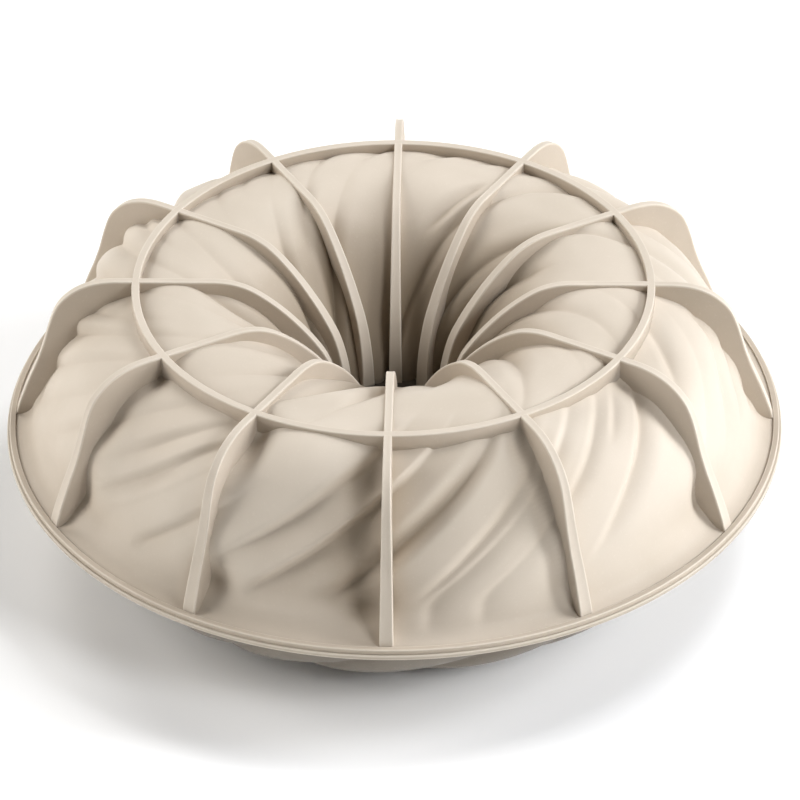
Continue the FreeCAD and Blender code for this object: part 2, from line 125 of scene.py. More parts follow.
# -------------------------------------------------- the flutes' own geometry
# Each flute's crease: its angle half way up the outer wall (or that angle row
# by row, where it wanders), its depth in mm, how wide its two flanks are in
# degrees, and its strength along the skin, counted in rows of 0.233 mm from
# the rim over the crown into the well.
CREASES = [
    (-171.0, 0.9, 4.0, 7.0, [(55, 0.0), (100, 1.0), (200, 0.9), (270, 0.5), (330, 0.0)]),
    (-161.0, 0.8, 4.0, 7.0, [(45, 0.0), (80, 0.9), (140, 0.7), (200, 0.3), (260, 0.0)]),
    (-151.5, 0.8, 4.0, 7.0, [(70, 0.0), (120, 1.0), (190, 0.8), (260, 0.6), (320, 0.0)]),
    (-141.7, 1.0, 3.0, 6.0, [(110, 0.0), (150, 0.5), (180, 1.0), (240, 0.9), (275, 0.4), (320, 0.0)]),
    (-134.4, 1.3, 2.4, 7.5, [(75, 0.0), (110, 0.8), (150, 1.0), (205, 0.8), (250, 0.3), (290, 0.0)]),
    (-118.8, 1.7, 2.6, 8.0, [(45, 0.0), (70, 0.8), (110, 1.0), (150, 0.5), (200, 0.0)]),
    (-107.8, 2.7, 1.9, 14.0, [(80, 0.0), (120, 0.7), (160, 1.0), (235, 1.05), (265, 0.7), (320, 0.2), (380, 0.0)]),
    (-97.6, 3.1, 1.9, 14.0, [(42, 0.0), (62, 0.5), (100, 0.9), (150, 1.0), (200, 0.9), (250, 0.7), (290, 0.3), (340, 0.0)]),
    (-85.2, 3.2, 8.0, 4.5, [(50, 0.0), (75, 0.7), (110, 0.8), (140, 1.05), (200, 1.05), (250, 0.8), (300, 0.2), (350, 0.0)]),
    (-71.4, 1.3, 2.6, 5.0, [(55, 0.0), (85, 0.8), (120, 1.0), (165, 0.9), (200, 0.5), (250, 0.2), (280, 0.0)]),
    ([(20, -69.9), (70, -69.2), (140, -67.8), (250, -66.0)], 1.2, 2.2, 4.4,
     [(10, 0.0), (26, 0.45), (60, 0.6), (105, 0.9), (140, 0.5), (180, 0.3), (215, 0.7), (255, 0.7), (300, 0.0)]),
    ([(20, -61.8), (70, -61.0), (130, -59.0), (250, -57.6)], 1.1, 2.2, 5.0,
     [(10, 0.0), (26, 0.5), (60, 0.5), (95, 0.3), (130, 0.4), (165, 0.8), (230, 0.9), (260, 0.6), (300, 0.1), (340, 0.0)]),
    (-52.3, 0.7, 2.4, 3.4, [(195, 0.0), (215, 0.9), (240, 0.9), (262, 0.0)]),
    (-44.2, 1.5, 2.2, 6.5, [(70, 0.0), (105, 0.8), (150, 1.0), (225, 1.0), (262, 0.6), (320, 0.2), (380, 0.0)]),
    (-30.5, 1.6, 4.0, 6.0, [(150, 0.0), (190, 0.5), (225, 0.9), (262, 1.0), (300, 0.6), (380, 0.0)]),
    (-20.0, 0.7, 3.5, 6.0, [(60, 0.0), (95, 0.8), (150, 0.8), (220, 0.4), (270, 0.0)]),
    (-9.5, 0.8, 3.5, 6.0, [(70, 0.0), (120, 0.8), (180, 0.9), (250, 0.7), (290, 0.1), (320, 0.0)]),
    (0.4, 2.6, 4.0, 6.0, [(60, 0.0), (110, 0.35), (200, 0.35), (260, 0.5), (300, 1.0), (380, 1.0), (430, 0.7), (560, 0.7)]),
    (13.0, 1.3, 4.0, 6.0, [(50, 0.0), (85, 0.9), (130, 0.9), (200, 0.6), (265, 0.3), (300, 0.0)]),
    (26.0, 3.0, 4.5, 7.0, [(65, 0.0), (110, 0.5), (200, 0.5), (270, 0.6), (300, 1.0), (380, 0.8), (430, 0.5), (470, 0.8), (560, 0.9)]),
    (38.0, 2.2, 4.0, 5.5, [(50, 0.0), (90, 1.0), (150, 1.0), (230, 0.8), (280, 0.2), (320, 0.0)]),
    (48.0, 2.0, 4.0, 5.5, [(85, 0.0), (130, 0.9), (220, 0.9), (265, 0.4), (310, 0.1), (350, 0.0)]),
    (59.5, 2.6, 4.0, 6.5, [(45, 0.0), (80, 1.0), (150, 1.0), (240, 0.8), (290, 0.4), (350, 0.1), (380, 0.0)]),
    (75.4, 3.0, 4.5, 7.0, [(50, 0.0), (95, 1.0), (200, 1.0), (270, 0.5), (330, 0.35), (380, 0.2), (440, 0.7), (560, 0.8)]),
    (88.2, 2.6, 4.0, 6.0, [(60, 0.0), (115, 0.9), (200, 0.9), (270, 0.45), (330, 0.5), (355, 0.6), (400, 0.3), (440, 0.0)]),
    (100.6, 2.8, 4.0, 5.0, [(45, 0.0), (80, 1.0), (170, 0.9), (240, 0.6), (275, 0.3), (330, 0.2), (380, 0.2), (440, 0.7), (560, 0.8)]),
    (109.6, 2.0, 3.2, 4.0, [(90, 0.0), (140, 0.8), (220, 0.8), (262, 0.4), (300, 0.1), (320, 0.0)]),
    (117.8, 2.2, 3.2, 4.2, [(45, 0.0), (80, 0.9), (150, 0.8), (230, 0.7), (270, 0.35), (335, 0.15), (380, 0.0)]),
    (132.6, 3.0, 4.5, 6.5, [(50, 0.0), (90, 1.0), (200, 1.0), (262, 0.45), (320, 0.25), (390, 0.3), (440, 0.8), (560, 0.8)]),
    (140.6, 1.6, 3.0, 3.6, [(120, 0.0), (170, 0.7), (230, 0.7), (262, 0.35), (300, 0.1), (330, 0.0)]),
    (149.2, 2.8, 4.0, 6.0, [(45, 0.0), (80, 1.0), (140, 0.8), (230, 0.6), (275, 0.25), (320, 0.3), (360, 0.7), (400, 0.9), (450, 0.6), (490, 0.0)]),
    (161.0, 2.0, 4.0, 6.0, [(70, 0.0), (120, 1.0), (200, 0.8), (260, 0.35), (300, 0.15), (360, 0.2), (420, 0.6), (560, 0.8)]),
    (172.5, 1.2, 3.5, 4.5, [(45, 0.0), (80, 0.6), (130, 0.5), (190, 0.5), (225, 0.7), (255, 0.5), (290, 0.2), (320, 0.0)]),
    (179.4, 1.9, 3.6, 8.0, [(50, 0.0), (90, 0.7), (140, 1.0), (175, 1.0), (230, 0.4), (270, 0.3), (340, 0.5), (400, 0.4), (440, 0.0)]),
    # creases of the crown and the well only
    (-161.2, 2.4, 4.5, 9.0, [(290, 0.0), (330, 0.4), (385, 0.7), (440, 0.6), (560, 0.5)]),
    (-143.2, 3.2, 9.0, 6.0, [(290, 0.0), (325, 0.9), (420, 1.0), (500, 0.8), (560, 0.7)]),
    (-128.6, 2.6, 4.0, 6.0, [(265, 0.1), (290, 0.8), (345, 1.0), (380, 0.9), (420, 0.2), (460, 0.0)]),
    (-112.0, 3.0, 8.0, 8.0, [(360, 0.0), (420, 0.7), (480, 1.0), (560, 0.9)]),
    (-79.2, 2.4, 5.0, 6.0, [(270, 0.0), (300, 0.7), (380, 0.9), (450, 0.8), (560, 0.7)]),
    (-60.0, 2.0, 5.0, 6.0, [(290, 0.0), (330, 0.6), (400, 0.7), (450, 0.3), (500, 0.0)]),
    (-44.0, 2.2, 6.0, 7.0, [(275, 0.0), (310, 0.6), (370, 0.8), (440, 0.9), (560, 0.8)]),
    (-18.5, 3.2, 6.0, 7.0, [(380, 0.0), (430, 0.7), (480, 1.0), (560, 0.9)]),
    (35.4, 3.2, 5.0, 4.5, [(325, 0.0), (350, 0.9), (400, 0.8), (430, 0.2), (460, 0.0)]),
]
# broad swells: angle, row, height in mm, width in degrees, width in rows
SWELLS = [(-106, 240, 3.4, 9, 42), (-121, 150, 2.4, 8, 55), (-31, 128, 1.8, 9, 45), (-150, 122, 1.4, 8, 40),
          (-150, 48, -2.2, 9, 28), (-30, 42, -2.0, 9, 28), (-59, 252, 2.0, 7, 30), (-92, 55, -1.6, 7, 26),
          (-121, 240, -1.8, 4, 30), (-64, 205, -0.8, 5, 45), (-119, 30, -1.5, 6, 22), (12, 200, 1.2, 12, 60),
          (55, 150, 1.0, 14, 60), (100, 120, 1.2, 16, 60), (150, 180, 1.2, 14, 60), (-77, 330, 1.2, 10, 50),
          (20, 350, 1.0, 8, 40), (75, 350, 1.0, 12, 50), (130, 360, 0.9, 10, 50),
          (-94.8, 130, -2.8, 3.2, 34), (-94.0, 215, -2.6, 2.6, 28), (-102, 60, -1.0, 5, 20),
          # pockets that run along the ribs' feet
          (-118.2, 55, -3.2, 1.9, 26), (-117.7, 236, -3.2, 2.1, 28), (-93.5, 48, -3.8, 2.6, 28),
          (-62.6, 60, -1.6, 1.2, 40), (-62.6, 165, -1.4, 1.2, 36), (-62.9, 245, -2.8, 1.9, 22),
          (-148.2, 75, -1.8, 1.6, 26), (-148.4, 180, -2.2, 1.7, 30), (-148.0, 252, -2.4, 1.9, 18), (-32.0, 250, -2.0, 1.6, 16), (-31.4, 60, -1.8, 1.2, 28),
          (-31.8, 180, -1.6, 1.5, 26), (-1.8, 70, -1.6, 1.6, 30), (-2.0, 190, -1.6, 1.6, 30),
          (28.0, 120, -1.6, 1.6, 40), (58.0, 90, -1.6, 1.6, 36), (88.0, 150, -1.6, 1.6, 40),
          (118.2, 100, -1.6, 1.6, 36), (148.2, 150, -1.6, 1.6, 40), (-178.2, 90, -1.8, 1.6, 30)]
ROW = 0.2330
LIFT = 1.25


def turn_upper(s):
    """how far the flutes have turned, in degrees, at a distance from the rim"""
    row = np.asarray(s, float) / ROW
    q = np.arange(0, 700, 1.0)
    slope = 0.155 * smooth(q, 46, 76) - 0.008 * smooth(q, 250, 300) - 0.003 * smooth(q, 400, 430)
    w = np.r_[0, np.cumsum((slope[1:] + slope[:-1]) / 2)]
    w -= np.interp(150, q, w)
    return np.interp(row, q, w)


def wrapped(x):
    return (x + 180.0) % 360.0 - 180.0


def relief_upper(s, phi, z, nz):
    """height of the flutes above the mean surface, mm: convex lobes that
    meet in creases, deepened where two creases come together"""
    row = s / ROW
    fade = smooth(row, 8, 50)
    carve = np.zeros(np.broadcast(s, phi).shape)
    for angle, depth, before, after, strength in CREASES:
        a = np.interp(row, [q for q, _ in strength], [v for _, v in strength])
        if isinstance(angle, list):
            angle = np.interp(row, [q for q, _ in angle], [v for _, v in angle])
        x = wrapped(phi - angle)
        w = np.where(x < 0, before, after)
        w = w * (1 + 0.55 * smooth(row, 270, 460))
        u = (np.sqrt(x * x + 0.16) - 0.4) / w
        bend = np.where((x > 0) & (after > 10), 1.45, 2.0)
        carve = carve + (1.26 * a * depth * np.clip(1 - u, 0, 1) ** bend) ** 2.6
    carve = carve ** (1 / 2.6)
    theta = phi + turn_upper(s)
    swell = 0.0
    for angle, at, height, wide, high in SWELLS:
        swell = swell + height * np.exp(-0.5 * (wrapped(theta - angle) / wide) ** 2
                                        - 0.5 * ((row - at) / high) ** 2)
    wave = 0.30 * np.sin(np.radians(phi * 7 + row * 0.9)) + 0.25 * np.sin(np.radians(phi * 5 - row * 1.3 + 70))
    less = 1 - 0.45 * smooth(row, 210, 262) + 0.2 * smooth(row, 320, 400)
    d = fade * (LIFT - carve * less) + swell * smooth(row, 15, 60) + wave * smooth(row, 30, 90)
    # the lobes stay below the plane of the ribs
    room = np.where(nz > 0.2, (TOP - 0.5 - z) / np.maximum(nz, 0.2), 99.0)
    over = d - room + 0.9
    return np.where(over > 0, room - 0.9 + 0.9 * (1 - np.exp(-np.maximum(over, 0) / 0.9)), d)


LOWER_EDGES = np.array([-130, -119, -102, -80, -61, -41, -20, 0, 19, 40, 61, 80, 101, 120,
                        141, 160, 181, 203], float) + 17.0


def lower_table(samples=7200):
    c = np.sort(np.mod(LOWER_EDGES, 360.0))
    phi = (np.arange(samples) + 0.5) * 360.0 / samples
    i = np.searchsorted(c, phi, side="right") - 1
    left = np.where(i < 0, c[-1] - 360.0, c[i])
    right = np.where(i + 1 >= len(c), c[0] + 360.0, c[(i + 1) % len(c)])
    t = (phi - left) / (right - left)
    depth = np.clip(0.125 * (right - left), 1.4, 2.8)
    y = depth * (np.sin(np.pi * t ** 0.62) ** 0.75 - 0.86)
    k = np.exp(-0.5 * (np.arange(-samples // 2, samples // 2) / (0.5 * samples / 360.0)) ** 2)
    k = np.fft.ifftshift(k / k.sum())
    return np.real(np.fft.ifft(np.fft.fft(y) * np.fft.fft(k)))


LOWER_TABLE = lower_table()


# -------------------------------------------------------------- mesh helpers
def mesh_object(name, verts, faces, smooth_faces=True, values=None):
    """verts in mm; values: name -> one number per vertex"""
    me = bpy.data.meshes.new(name)
    me.from_pydata((np.asarray(verts, float) * MM).tolist(), [], [list(map(int, f)) for f in faces])
    me.update()
    if smooth_faces is True:
        me.polygons.foreach_set("use_smooth", [True] * len(me.polygons))
    elif smooth_faces is not False:
        me.polygons.foreach_set("use_smooth", [bool(x) for x in smooth_faces])
    for key, data in (values or {}).items():
        layer = me.attributes.new(key, "FLOAT", "POINT")
        layer.data.foreach_set("value", np.asarray(data, np.float32))
    me.validate()
    ob = bpy.data.objects.new(name, me)
    bpy.context.scene.collection.objects.link(ob)
    return ob


def grid_quads(rows, cols, start, flip=False):
    """quads of a grid of rows by cols vertices that closes round its columns"""
    j, i = np.meshgrid(np.arange(rows - 1), np.arange(cols), indexing="ij")
    a = start + j * cols + i
    b = start + j * cols + (i + 1) % cols
    c = b + cols
    d = a + cols
    q = np.stack([a, b, c, d] if not flip else [a, d, c, b], -1)
    return q.reshape(-1, 4)


def around(r, z, theta):
    """grid of points: r, z and theta are rows by columns"""
    t = np.radians(theta)
    return np.stack([r * np.cos(t), r * np.sin(t), z + 0 * t], -1).reshape(-1, 3)


def lathe(name, section, cols=720, values=None):
    """closed ring of revolution from an anticlockwise section of (r, z)"""
    p = np.array(section, float)
    n = len(p)
    theta = np.arange(cols) * 360.0 / cols
    t = np.radians(theta)
    v = np.stack([p[:, 0][:, None] * np.cos(t), p[:, 0][:, None] * np.sin(t),
                  p[:, 1][:, None] + 0 * t], -1).reshape(-1, 3)
    faces = grid_quads(n, cols, 0, flip=True)
    j = np.arange(cols)
    last = np.stack([(n - 1) * cols + j, j, (j + 1) % cols, (n - 1) * cols + (j + 1) % cols], -1)
    faces = np.concatenate([faces, last])
    vals = {k: np.repeat(np.asarray(d, float), cols) for k, d in (values or {}).items()}
    return mesh_object(name, v, faces, True, vals)


def rounded(corners, radii, steps=4):
    """polygon (r, z) whose corners are rounded; returns points and a flag
    that is 1 on the roundings. Straight runs get a guard point at each end."""
    pts, flag = [], []
    n = len(corners)
    for i in range(n):
        a, b, c = (np.array(corners[(i + k) % n], float) for k in (-1, 0, 1))
        r = radii[i]
        u = (a - b) / np.linalg.norm(a - b)
        w = (c - b) / np.linalg.norm(c - b)
        if r <= 0:
            pts.append(tuple(b))
            flag.append(0.0)
            continue
        ang = math.acos(max(-1, min(1, float(u @ w))))
        cut = r / math.tan(ang / 2)
        p0, p1 = b + u * cut, b + w * cut
        mid = (u + w) / np.linalg.norm(u + w)
        centre = b + mid * r / math.sin(ang / 2)
        v0, v1 = p0 - centre, p1 - centre
        a0 = math.atan2(v0[1], v0[0])
        a1 = math.atan2(v1[1], v1[0])
        da = (a1 - a0 + math.pi) % (2 * math.pi) - math.pi
        guard = 0.12
        pts.append(tuple(p0 + u * guard))
        flag.append(0.0)
        for k in range(steps + 1):
            t = a0 + da * k / steps
            pts.append((centre[0] + r * math.cos(t), centre[1] + r * math.sin(t)))
            flag.append(1.0)
        pts.append(tuple(p1 + w * guard))
        flag.append(0.0)
    return pts, flag


# ------------------------------------------------------------ ribbed half
COLS = 640
pts_u, s_u, t_u = spline(SWEEP + RIBBED, 1.55)
n_u = np.stack([t_u[:, 1], -t_u[:, 0]], -1)
phi_u = np.arange(COLS) * 360.0 / COLS


def outer_upper(s, phi):
    """radius and height of the fluted skin at distances s and flute angles phi"""
    r = np.interp(s, s_u, pts_u[:, 0])
    z = np.interp(s, s_u, pts_u[:, 1])
    nr = np.interp(s, s_u, n_u[:, 0])
    nz = np.interp(s, s_u, n_u[:, 1])
    d = relief_upper(s, phi, z, nz)
    return r + nr * d, z + nz * d, d, nr, nz


def build_ribbed_shell():
    S, PHI = np.meshgrid(s_u, phi_u, indexing="ij")
    R, Z, D, NR, NZ = outer_upper(S, PHI)
    # the skin ends on the parting plane, and at the lip
    Z[-1] = PART + 0.1
    THETA = PHI + turn_upper(S)
    outer = around(R, Z, THETA)
    relief = [D.ravel()]
    # inside: from the well's foot back to the rim
    pick = [k for k in range(len(s_u) - 1, 12, -1) if (k % 3 == (len(s_u) - 1) % 3) or k < 18]
    Si, PHIi = np.meshgrid(s_u[pick], phi_u, indexing="ij")
    Ri, Zi, Di, NRi, NZi = outer_upper(Si, PHIi)
    Ri = Ri - NRi * WALL
    Zi = Zi - NZi * WALL
    Zi[0] = PART
    Zi = np.maximum(Zi, PART)
    THi = PHIi + turn_upper(Si)
    inner = around(Ri, Zi, THi)
    relief.append(Di.ravel() * 0)
    # underside at the rim
    last = THi[-1]
    under_r = [108.2, 111.0, 111.0, 117.6]
    under_z = [PART, PART, 34.95, 34.95]
    t_first = THETA[0]
    rows = []
    for k, (rr, zz) in enumerate(zip(under_r, under_z)):
        f = (k + 1) / (len(under_r) + 0.0)
        rows.append(around(np.full((1, COLS), rr), np.full((1, COLS), zz),
                           (last * (1 - f) + t_first * f)[None, :]))
        relief.append(np.zeros(COLS))
    verts = np.concatenate([outer, inner] + rows)
    total = len(s_u) + len(pick) + len(under_r)
    faces = grid_quads(total, COLS, 0)
    j = np.arange(COLS)
    close = np.stack([(total - 1) * COLS + j, (total - 1) * COLS + (j + 1) % COLS,
                      (j + 1) % COLS, j], -1)
    faces = np.concatenate([faces, close])
    # the shade value falls down the well, so that its colour deepens there: painted shade in the well; the relief
    # values also paint the crests paler and the valleys deeper
    shade = np.concatenate(relief)
    count = len(s_u) * COLS
    down = smooth(np.repeat(s_u / ROW, COLS), 350, 510)
    shade[:count] = shade[:count] - 6.5 * down
    return mesh_object("fluted_shell", verts, faces, True, {"relief": shade})


def half_thickness(z):
    return 0.5 * (RIB_FOOT_T + (RIB_TOP_T - RIB_FOOT_T) * (z - PART) / (TOP + 1 - PART))


def foot_line(theta, s_from, s_to, step):
    """where a rib at that angle meets the fluted skin, a little inside it"""
    s = np.arange(s_from, s_to, step)
    low = None
    for off in (-1.0, -0.5, 0.0, 0.5, 1.0):
        rad = np.interp(s, s_u, pts_u[:, 0])
        zz = np.interp(s, s_u, pts_u[:, 1])
        a = np.degrees(np.arcsin(np.clip(off * half_thickness(zz) / rad, -1, 1)))
        r, z, d, nr, nz = outer_upper(s, theta + a - turn_upper(s))
        low = d if low is None else np.minimum(low, d)
    low = low - 0.75
    r = np.interp(s, s_u, pts_u[:, 0]) + nr * low
    z = np.interp(s, s_u, pts_u[:, 1]) + nz * low
    return np.stack([r, np.maximum(z, PART + 0.9)], -1)


ROUND = 0.34


def rib_mesh(foot, edge, theta):
    """one rib: foot and edge are matching rows of (r, z)"""
    n = len(edge)
    t = np.gradient(edge, axis=0)
    t /= np.maximum(np.linalg.norm(t, axis=1), 1e-9)[:, None]
    gap = foot - edge
    side = np.stack([-t[:, 1], t[:, 0]], -1)
    side *= np.where((side * gap).sum(1) < 0, -1, 1)[:, None]
    deep = np.linalg.norm(gap, axis=1)
    rr = np.minimum(ROUND, deep * 0.45)[:, None]
    rows, flag = [], []

    def row(base, depth, inset, value):
        p = base + side * depth
        half = half_thickness(p[:, 1]) - inset
        rows.append((p, half))
        flag.append(value)

    # one flank from the foot up, over the edge; mirrored for the other flank
    rows.append((foot, half_thickness(foot[:, 1])))
    flag.append(0.0)
    guard = np.minimum(rr[:, 0] + 0.45, deep * 0.7)[:, None]
    row(edge, guard, 0.0, 0.0)
    # edge values paint a highlight: 1 on the rounding, 0.75 and 0.65 on the top face beside it
    for k in range(0, 5):
        a = math.pi / 2 * k / 4
        row(edge, rr * (1 - math.sin(a)), (rr * (1 - math.cos(a)))[:, 0], 1.0)
    row(edge, rr * 0.0 + 0.03, (rr * 1.7)[:, 0], 0.75)
    row(edge, rr * 0.0 + 0.07, (rr * 2.6)[:, 0], 0.65)
    prof = rows
    count = len(prof)
    c, s = math.cos(math.radians(theta)), math.sin(math.radians(theta))
    verts, val = [], []
    for sgn, order in ((1, range(count)), (-1, range(count - 1, -1, -1))):
        for k in order:
            p, half = prof[k]
            off = sgn * half
            verts.append(np.stack([p[:, 0] * c - off * s, p[:, 0] * s + off * c, p[:, 1]], -1))
            val.append(np.full(n, flag[k]))
    m = len(verts)
    V = np.stack(verts)                       # m rows of n points
    A = np.stack(val)
    idx = np.arange(m * n).reshape(m, n)
    faces, sm = [], []
    for k in range(m):
        k2 = (k + 1) % m
        a, b = idx[k, :-1], idx[k, 1:]
        d, cc = idx[k2, :-1], idx[k2, 1:]
        faces.append(np.stack([a, b, cc, d], -1))
        flat = k in (0, m - 1, m - 2)
        sm += [not flat] * (n - 1)
    faces = [list(f) for f in np.concatenate(faces)]
    faces.append([int(x) for x in idx[:, 0]][::1])
    faces.append([int(x) for x in idx[:, -1]][::-1])
    sm += [False, False]
    return V.reshape(-1, 3), faces, sm, A.ravel()


def match(foot, edge, count):
    out = []
    for p in (foot, edge):
        u = np.r_[0, np.cumsum(np.hypot(*np.diff(p, axis=0).T))]
        q = np.linspace(0, 1, count) * u[-1]
        out.append(np.stack([np.interp(q, u, p[:, 0]), np.interp(q, u, p[:, 1])], -1))
    return out


def s_at_radius(r):
    outer_side = np.argmax(pts_u[:, 0] < r)
    k = max(outer_side, 1)
    f = (pts_u[k - 1, 0] - r) / (pts_u[k - 1, 0] - pts_u[k, 0])
    return s_u[k - 1] + f * (s_u[k] - s_u[k - 1])


def all_ribs(name, inner):
    V, F, SM, A = [], [], [], []
    base = 0
    if inner:
        head, _, _ = spline([(78.3, 84.5), (66.0, 84.5), (58.0, 84.5), (54.4, 84.5)], 1.5)
        tail, _, _ = spline(RIB_IN, 1.0)
        edge = np.concatenate([head[:-1], tail])
        s0, s1 = s_at_radius(78.3), s_u[-1] - 0.9
        count = 110
    else:
        edge, _, _ = spline(RIB_OUT, 1.0)
        edge = np.concatenate([edge, [(81.5, 84.5), (79.1, 84.5)]])
        s0, s1 = 0.3, s_at_radius(79.1)
        count = 96
    for k in range(12):
        theta = 30.0 * k
        foot = foot_line(theta, s0, s1, 0.5)
        f, e = match(foot, edge, count)
        v, faces, sm, a = rib_mesh(f, e, theta)
        V.append(v)
        F += [[x + base for x in q] for q in faces]
        SM += sm
        A.append(a)
        base += len(v)
    return mesh_object(name, np.concatenate(V), F, SM, {"edge": np.concatenate(A)})


def orient(ob):
    """make the faces of a closed mesh point outwards"""
    import bmesh
    bm = bmesh.new()
    bm.from_mesh(ob.data)
    bmesh.ops.recalc_face_normals(bm, faces=bm.faces)
    bm.to_mesh(ob.data)
    bm.free()
    return ob


shell = orient(build_ribbed_shell())

sec, flag = rounded([(111.0, PART), (111.7, PART), (111.7, 35.0), (114.1, 35.0), (114.1, PART),
                     (RIM_R, PART), (RIM_R, LIP_TOP), (LIP_IN, LIP_TOP), (LIP_IN, FLOOR - 0.1),
                     (115.2, 35.35), (113.6, 35.5), (112.0, 36.2), (111.0, 37.0)],
                    [0, 0, 0, 0, 0, 0.22, 0.28, 0.28, 0, 0, 0, 0, 0])
rim_top = orient(lathe("ribbed_flange", sec, 720, {"edge": flag}))

sec, flag = rounded([(RING_IN, 78.0), (RING_OUT, 77.2), (RING_OUT, TOP), (RING_IN, TOP)],
                    [0, 0, 0.34, 0.34])
# the hoop's top face gets a painted highlight through its edge value
flag = [max(f, 0.65) if p[1] > TOP - 0.2 else f for f, p in zip(flag, sec)]
ring = orient(lathe("crown_hoop", sec, 720, {"edge": flag}))

ribs_out = orient(all_ribs("outer_rib_set", False))
ribs_in = orient(all_ribs("inner_rib_set", True))

# ------------------------------------------------------------- closing half
sec, flag = rounded([(110.0, 32.7), (LEDGE_R, 32.7), (LEDGE_R, PART), (113.8, PART), (113.8, PART + 0.5),
                     (112.0, PART + 0.5), (112.0, PART), (110.0, PART)],
                    [0, 0.35, 0.3, 0, 0.2, 0.2, 0, 0])
rim_low = orient(lathe("closing_flange", sec, 720, {"edge": flag}))


def build_closing_shell():
    cols = 720
    step = 360.0 / cols
    phi = np.arange(cols) * step
    pw, sw, tw = spline(CLOSING_WALL, 1.7)
    pc, sc, tc = spline(CLOSING_WELL, 1.7)
    turn_w = -40.0 * sw / sw[-1]
    turn_c = -40.0 - 27.0 * sc / sc[-1]

    def fluted(p, s, t, turn, amp, wall):
        n = np.stack([-t[:, 1], t[:, 0]], -1)
        PHI = np.repeat(phi[None, :], len(p), 0)
        d = look_up(LOWER_TABLE, PHI) * amp[:, None]
        # this side of the bowl is drawn in a little
        d = d - 2.0 * np.exp(-0.5 * (wrapped(PHI + turn[:, None] + 33.0) / 17.0) ** 2) * amp[:, None]
        r = p[:, 0][:, None] + n[:, 0][:, None] * (d - wall)
        z = p[:, 1][:, None] + n[:, 1][:, None] * (d - wall)
        return np.array(r), np.array(z), PHI + turn[:, None]

    amp_w = smooth(sw, 0.5, 7.0) * (1 - smooth(sw, sw[-1] - 24, sw[-1] - 5))
    amp_c = 0.8 * smooth(sc, 3, 14)
    rows = []
    r, z, th = fluted(pw, sw, tw, turn_w, amp_w, 0.0)
    z = np.maximum(z, 0.0)
    rows.append((r[:-1], z[:-1], th[:-1]))
    n_wall = len(pw) - 1
    base_r = np.array([66.0, 63.5, 61.0, 58.5, 56.0, 53.5, 51.0, 48.5, 46.0, 43.5, 41.0, 38.5, 36.0])
    flat = np.repeat((phi - 40.0)[None, :], len(base_r), 0)
    rows.append((np.repeat(base_r[:, None], cols, 1), np.zeros((len(base_r), cols)), flat))
    r, z, th = fluted(pc, sc, tc, turn_c, amp_c, 0.0)
    z = np.maximum(z, 0.0)
    rows.append((r[1:], z[1:], th[1:]))
    n_well = len(pc) - 1
    # the inside, from the well's top back over the base to the rim
    pick_c = [k for k in range(len(pc) - 1, 0, -1) if k % 2 == (len(pc) - 1) % 2]
    r, z, th = fluted(pc[pick_c], sc[pick_c], tc[pick_c], turn_c[pick_c], amp_c[pick_c], WALL)
    z[0] = PART - 0.1
    z = np.maximum(z, WALL)
    rows.append((r, z, th))
    in_r = base_r[::-1].copy()
    in_r[0], in_r[-1] = 36.4, 65.6
    rows.append((np.repeat(in_r[:, None], cols, 1), np.full((len(in_r), cols), WALL), flat))
    pick_w = [k for k in range(len(pw) - 2, 2, -1) if k % 2 == 0]
    r, z, th = fluted(pw[pick_w], sw[pick_w], tw[pick_w], turn_w[pick_w], amp_w[pick_w], WALL)
    z = np.maximum(z, WALL)
    rows.append((r, z, th))
    rows.append((np.full((1, cols), 108.6), np.full((1, cols), PART), phi[None, :]))
    rows.append((np.full((1, cols), 112.0), np.full((1, cols), PART - 0.2), phi[None, :]))
    counts = [len(x[0]) for x in rows]
    verts = np.concatenate([around(*x) for x in rows])
    total = sum(counts)
    bottom = counts[0]                       # first row of the outer base
    inside = sum(counts[:4])                 # first row of the inner base
    nb = len(base_r)
    holes = []
    half = int(round(18.0 / step))
    for c in range(4):
        mid = int(round((90.0 * c + 40.0) / step)) % cols
        holes.append((mid, half))
    j, i = np.meshgrid(np.arange(total - 1), np.arange(cols), indexing="ij")
    keep = np.ones((total - 1, cols), bool)
    for mid, hw in holes:
        cut = [(mid + k) % cols for k in range(-hw, hw)]
        keep[bottom:bottom + nb - 1, cut] = False
        keep[inside:inside + nb - 1, cut] = False
    a = j * cols + i
    b = j * cols + (i + 1) % cols
    q = np.stack([a, b, b + cols, a + cols], -1)[keep]
    faces = [list(map(int, f)) for f in q]
    k = np.arange(cols)
    close = np.stack([(total - 1) * cols + k, (total - 1) * cols + (k + 1) % cols, (k + 1) % cols, k], -1)
    faces += [list(map(int, f)) for f in close]
    extra = []
    count = len(verts)
    for c, (mid, hw) in enumerate(holes):
        centre = np.array([51.0 * math.cos(math.pi / 2 * c), 51.0 * math.sin(math.pi / 2 * c)])
        loops = []
        for first, zz in ((bottom, 0.0), (inside, WALL)):
            left, right = (mid - hw) % cols, (mid + hw) % cols
            top_row, low_row = first, first + nb - 1
            loop = [(top_row) * cols + (mid + d) % cols for d in range(-hw, hw)]
            loop += [(top_row + m) * cols + right for m in range(0, nb - 1)]
            loop += [(low_row) * cols + (mid + d) % cols for d in range(hw, -hw, -1)]
            loop += [(low_row - m) * cols + left for m in range(0, nb - 1)]
            pts = verts[loop][:, :2]
            rel = pts - centre
            u = rel / np.linalg.norm(rel, axis=1)[:, None]
            prev = np.array(loop)
            for f in (0.55, 0.85, 1.0):
                ringp = centre + rel * (1 - f) + u * 10.0 * f
                ids = count + np.arange(len(loop))
                extra.append(np.column_stack([ringp, np.full(len(loop), zz)]))
                count += len(loop)
                m = len(loop)
                for e in range(m):
                    faces.append([int(prev[e]), int(prev[(e + 1) % m]), int(ids[(e + 1) % m]), int(ids[e])])
                prev = ids
            loops.append(prev)
        lo, hi = loops
